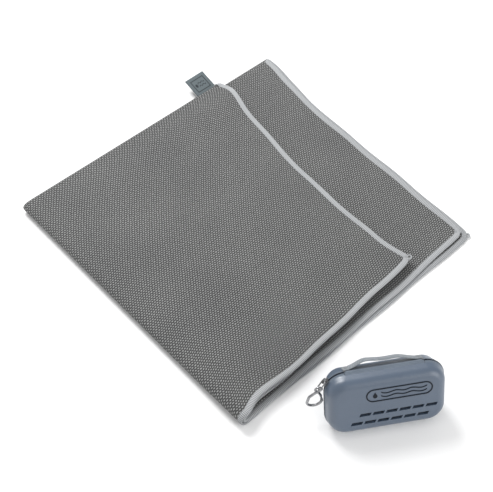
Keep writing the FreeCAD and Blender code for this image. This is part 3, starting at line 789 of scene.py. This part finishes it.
def rim_point(distance):
    """Point and outward direction on the case's outline, from the hinge's left end round by the bottom."""
    x, r = CASE_LENGTH / 2, CASE_CORNER
    arc = r * math.pi / 2
    runs = [
        ("arc", (-x + r, CASE_HEIGHT - r), 90.0, arc),
        ("line", (-x, CASE_HEIGHT - r), (0, -1), CASE_HEIGHT - 2 * r),
        ("arc", (-x + r, r), 180.0, arc),
        ("line", (-x + r, 0.0), (1, 0), CASE_LENGTH - 2 * r),
        ("arc", (x - r, r), 270.0, arc),
        ("line", (x, r), (0, 1), CASE_HEIGHT - 2 * r),
        ("arc", (x - r, CASE_HEIGHT - r), 0.0, arc),
    ]
    for kind, at, direction, length in runs:
        if distance <= length + 1e-9:
            if kind == "arc":
                a = math.radians(direction) + distance / r
                out = np.array([math.cos(a), math.sin(a)])
                return np.array(at) + out * r, out
            d = np.array(direction, float)
            return np.array(at) + d * distance, np.array([d[1], -d[0]])
        distance -= length
    raise ValueError("past the end of the outline")


RIM_LENGTH = (4 * CASE_CORNER * math.pi / 2 + 2 * (CASE_HEIGHT - 2 * CASE_CORNER)
              + CASE_LENGTH - 2 * CASE_CORNER)


def zip_teeth(name, side, body, replaced):
    """One side's row of moulded teeth on its cord, staggered against the other side's."""
    b = Builder()
    pitch = 1.9
    start = 1.2 + (0.0 if side > 0 else pitch / 2)
    count = int((RIM_LENGTH - 2.4) / pitch)
    for k in range(count):
        p, out = rim_point(start + k * pitch)
        along = np.array([-out[1], out[0]])
        centre = np.array([*(p - out * 0.62), side * 0.78])
        axes = np.array([[along[0], along[1], 0], [out[0], out[1], 0], [0, 0, 1.0]])
        local = Builder()
        local.block(centre, axes, (0.58, 0.62, 0.60), 0.5)
        b.add(case_point(local.points[0]), local.faces)
    line = []
    for d in np.linspace(0.6, RIM_LENGTH - 0.6, 260):
        p, out = rim_point(d)
        line.append([*(p - out * 1.0), side * 1.25])
    b.tube(case_point(np.array(line)), 0.30 * MM, sides=7)
    obj = b.object(name, smooth=False)
    dress(obj, TEETH)
    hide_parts(replaced)
    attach(obj, body)
    return obj


def strap_curve():
    """The strap's underside, as (x, height over the wall) pairs, in the same slack shape as its solid."""
    flat, rise, thick = STRAP_FLAT, STRAP_RISE, 1.5
    knots = np.array([(-flat, 0.0), (-0.55 * flat, rise - thick), (0.0, 0.55 * rise),
                      (0.5 * flat, 0.62 * rise), (flat, 0.0)])
    x = np.linspace(-flat, flat, 90)
    y = np.interp(x, knots[:, 0], knots[:, 1])
    kernel = np.hanning(23)
    kernel /= kernel.sum()
    padded = np.concatenate([np.zeros(11), y, np.zeros(11)])
    y = np.convolve(padded, kernel, "valid")
    y = np.maximum(y, 0.0)
    ends = np.linspace(0, 8.0, 8)
    x = np.concatenate([-47.0 + ends[:-1], x, flat + ends[1:]])
    y = np.concatenate([np.zeros(7), y, np.zeros(7)])
    return x, y


def top_wall(points):
    """From the strap's axes (x, height, across) to the case's."""
    drop = math.radians(BACK_DRAFT)
    x, h, w = points[..., 0], points[..., 1] + 0.08, points[..., 2]
    reach = 3.6 + STRAP_WIDTH - w
    s = CASE_HEIGHT - reach * math.sin(drop) + h * math.cos(drop)
    n = -reach * math.cos(drop) - h * math.sin(drop)
    return np.stack([x, s, n], axis=-1)


def strap():
    """Woven webbing with rounded, slightly thicker edges."""
    x, y = strap_curve()
    across = np.linspace(0, STRAP_WIDTH, 15)
    xx, ww = np.meshgrid(x, across, indexing="ij")
    yy = np.repeat(y[:, None], len(across), 1)
    from_edge = np.minimum(ww, STRAP_WIDTH - ww)
    crown = 0.22 * np.sin(math.pi * ww / STRAP_WIDTH) * (yy > 0.6)
    selvedge = 0.16 * np.exp(-((from_edge - 0.9) / 0.6) ** 2)
    rib = 0.05 * np.cos(2 * math.pi * ww / 1.1)
    thin = np.minimum(1, from_edge / 0.5 + 0.35)
    low = np.stack([xx, yy + crown + 0.75 * (1 - thin), ww], axis=-1)
    high = np.stack([xx, yy + crown + 1.45 * thin + selvedge + rib + 0.75 * (1 - thin) * 0.4, ww], axis=-1)
    obj, _ = closed_sheet("webbing_strap", high, low, lambda p: case_point(top_wall(p)))
    dress(obj, STRAP)
    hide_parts("carrying_strap")
    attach(obj, "case_back")
    return obj


def bar_tacks():
    """A boxed cross of stitches at each end of the strap."""
    b = Builder()
    for sign in (-1, 1):
        mid = sign * 43.0
        corners = [(mid - 2.4, 1.6), (mid + 2.4, 1.6), (mid + 2.4, 9.4), (mid - 2.4, 9.4)]
        runs = list(zip(corners, corners[1:] + corners[:1]))
        runs += [(corners[0], corners[2]), (corners[1], corners[3])]
        for (x0, w0), (x1, w1) in runs:
            steps = max(2, int(math.hypot(x1 - x0, w1 - w0) / 1.5))
            for k in range(steps):
                t = (k + np.linspace(0.08, 0.92, 6)) / steps
                bow = 0.16 * np.sin(np.linspace(0, math.pi, 6))
                line = np.stack([x0 + (x1 - x0) * t, 1.52 + bow, w0 + (w1 - w0) * t], axis=-1)
                b.tube(case_point(top_wall(line)), 0.17 * MM, sides=6)
    obj = b.object("strap_bar_tacks")
    dress(obj, THREAD)
    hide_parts("strap_stitching")
    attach(obj, "case_back")
    return obj


HINGE_THICKNESS = 1.05


def hinge_cloth():
    """The fabric hinge along the top, as one fixed piece."""
    half = CASE_LENGTH / 2 - CASE_CORNER - 0.4
    x = np.linspace(-half, half, 60)
    n = np.linspace(-4.4, 4.4, 23)
    xx, nn = np.meshgrid(x, n, indexing="ij")
    slope = np.tan(np.radians(np.where(nn < 0, BACK_DRAFT, FRONT_DRAFT)))
    crease = 0.28 * np.exp(-(nn / 0.9) ** 2)
    top = CASE_HEIGHT - np.abs(nn) * slope - crease
    outer = np.stack([xx, top, nn], axis=-1)
    inner = np.stack([xx, top - HINGE_THICKNESS, nn], axis=-1)
    obj, _ = closed_sheet("hinge_cloth", outer, inner, case_point)
    dress(obj, TAPE)
    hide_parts("back_hinge_leaf", "front_hinge_leaf")
    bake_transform(obj)
    return obj


zip_teeth("back_teeth_row", -1, "case_back", "back_zip_teeth")
zip_teeth("front_teeth_row", 1, "case_front", "front_zip_teeth")
strap()
bar_tacks()
hinge_cloth()

CARRIED = {
    "back_shell": (SKIN, "case_skin"), "front_shell": (SKIN, "case_skin"),
    "back_lining": (LINING, "case_lining"), "front_lining": (LINING, "case_lining"),
    "back_zip_tape": (TAPE, "zip_tape"), "front_zip_tape": (TAPE, "zip_tape"),
    "zip_end_stops": (GUNMETAL, "gunmetal"), "water_badge": (PRINT, "badge_print"),
    "zip_slider": (GUNMETAL, "gunmetal"), "zip_pull": (GUNMETAL, "gunmetal"),
    "hook_body": (GUNMETAL, "gunmetal"), "hook_gate": (GUNMETAL, "gunmetal"),
    "gate_pin": (STEEL, "spring_steel"), "gate_spring": (STEEL, "spring_steel"),
}
for name, (mat, slot) in CARRIED.items():
    dress(NODES[name], mat)


def floor():
    size = 4.0
    obj = make_mesh("studio_floor", [(-size, -size, 0), (size, -size, 0), (size, size, 0), (-size, size, 0)],
                    [(0, 1, 2, 3)], smooth=False)
    obj.location.z = -0.0004
    mat, tree, shader = material("studio_floor")
    shader.inputs["Base Color"].default_value = (0.93, 0.93, 0.93, 1)
    shader.inputs["Roughness"].default_value = 0.95
    shader.inputs["Specular IOR Level"].default_value = 0.1
    obj.data.materials.append(mat)


def area_light(name, place, aim, power, size):
    data = bpy.data.lights.new(name, "AREA")
    data.energy = power
    data.shape = "DISK"
    data.size = size
    obj = bpy.data.objects.new(name, data)
    bpy.context.scene.collection.objects.link(obj)
    obj.location = place
    obj.rotation_euler = (Vector(aim) - Vector(place)).to_track_quat("-Z", "Y").to_euler()


floor()
area_light("key", (-0.45, 1.05, 1.55), (0, 0, 0), 31.0, 0.9)
area_light("fill", (1.3, -1.5, 0.9), (0, -0.1, 0), 15.0, 1.4)
world = bpy.data.worlds.new("studio")
bpy.context.scene.world = world
world.use_nodes = True
world.node_tree.nodes["Background"].inputs["Color"].default_value = (1, 1, 1, 1)
world.node_tree.nodes["Background"].inputs["Strength"].default_value = 0.74
bpy.context.scene.view_settings.view_transform = "Standard"

AIM = Vector((-0.0041, -0.0184, 0.0))
LOOK = Vector((0.1122, 0.6054, -0.7880)).normalized()
CAMERA_DISTANCE = 1.56
camera_data = bpy.data.cameras.new("camera")
camera_data.sensor_width = 36.0
camera_data.lens = 87.6
camera = bpy.data.objects.new("camera", camera_data)
bpy.context.scene.collection.objects.link(camera)
camera.location = AIM - LOOK * CAMERA_DISTANCE
camera.rotation_euler = LOOK.to_track_quat("-Z", "Y").to_euler()
bpy.context.scene.camera = camera
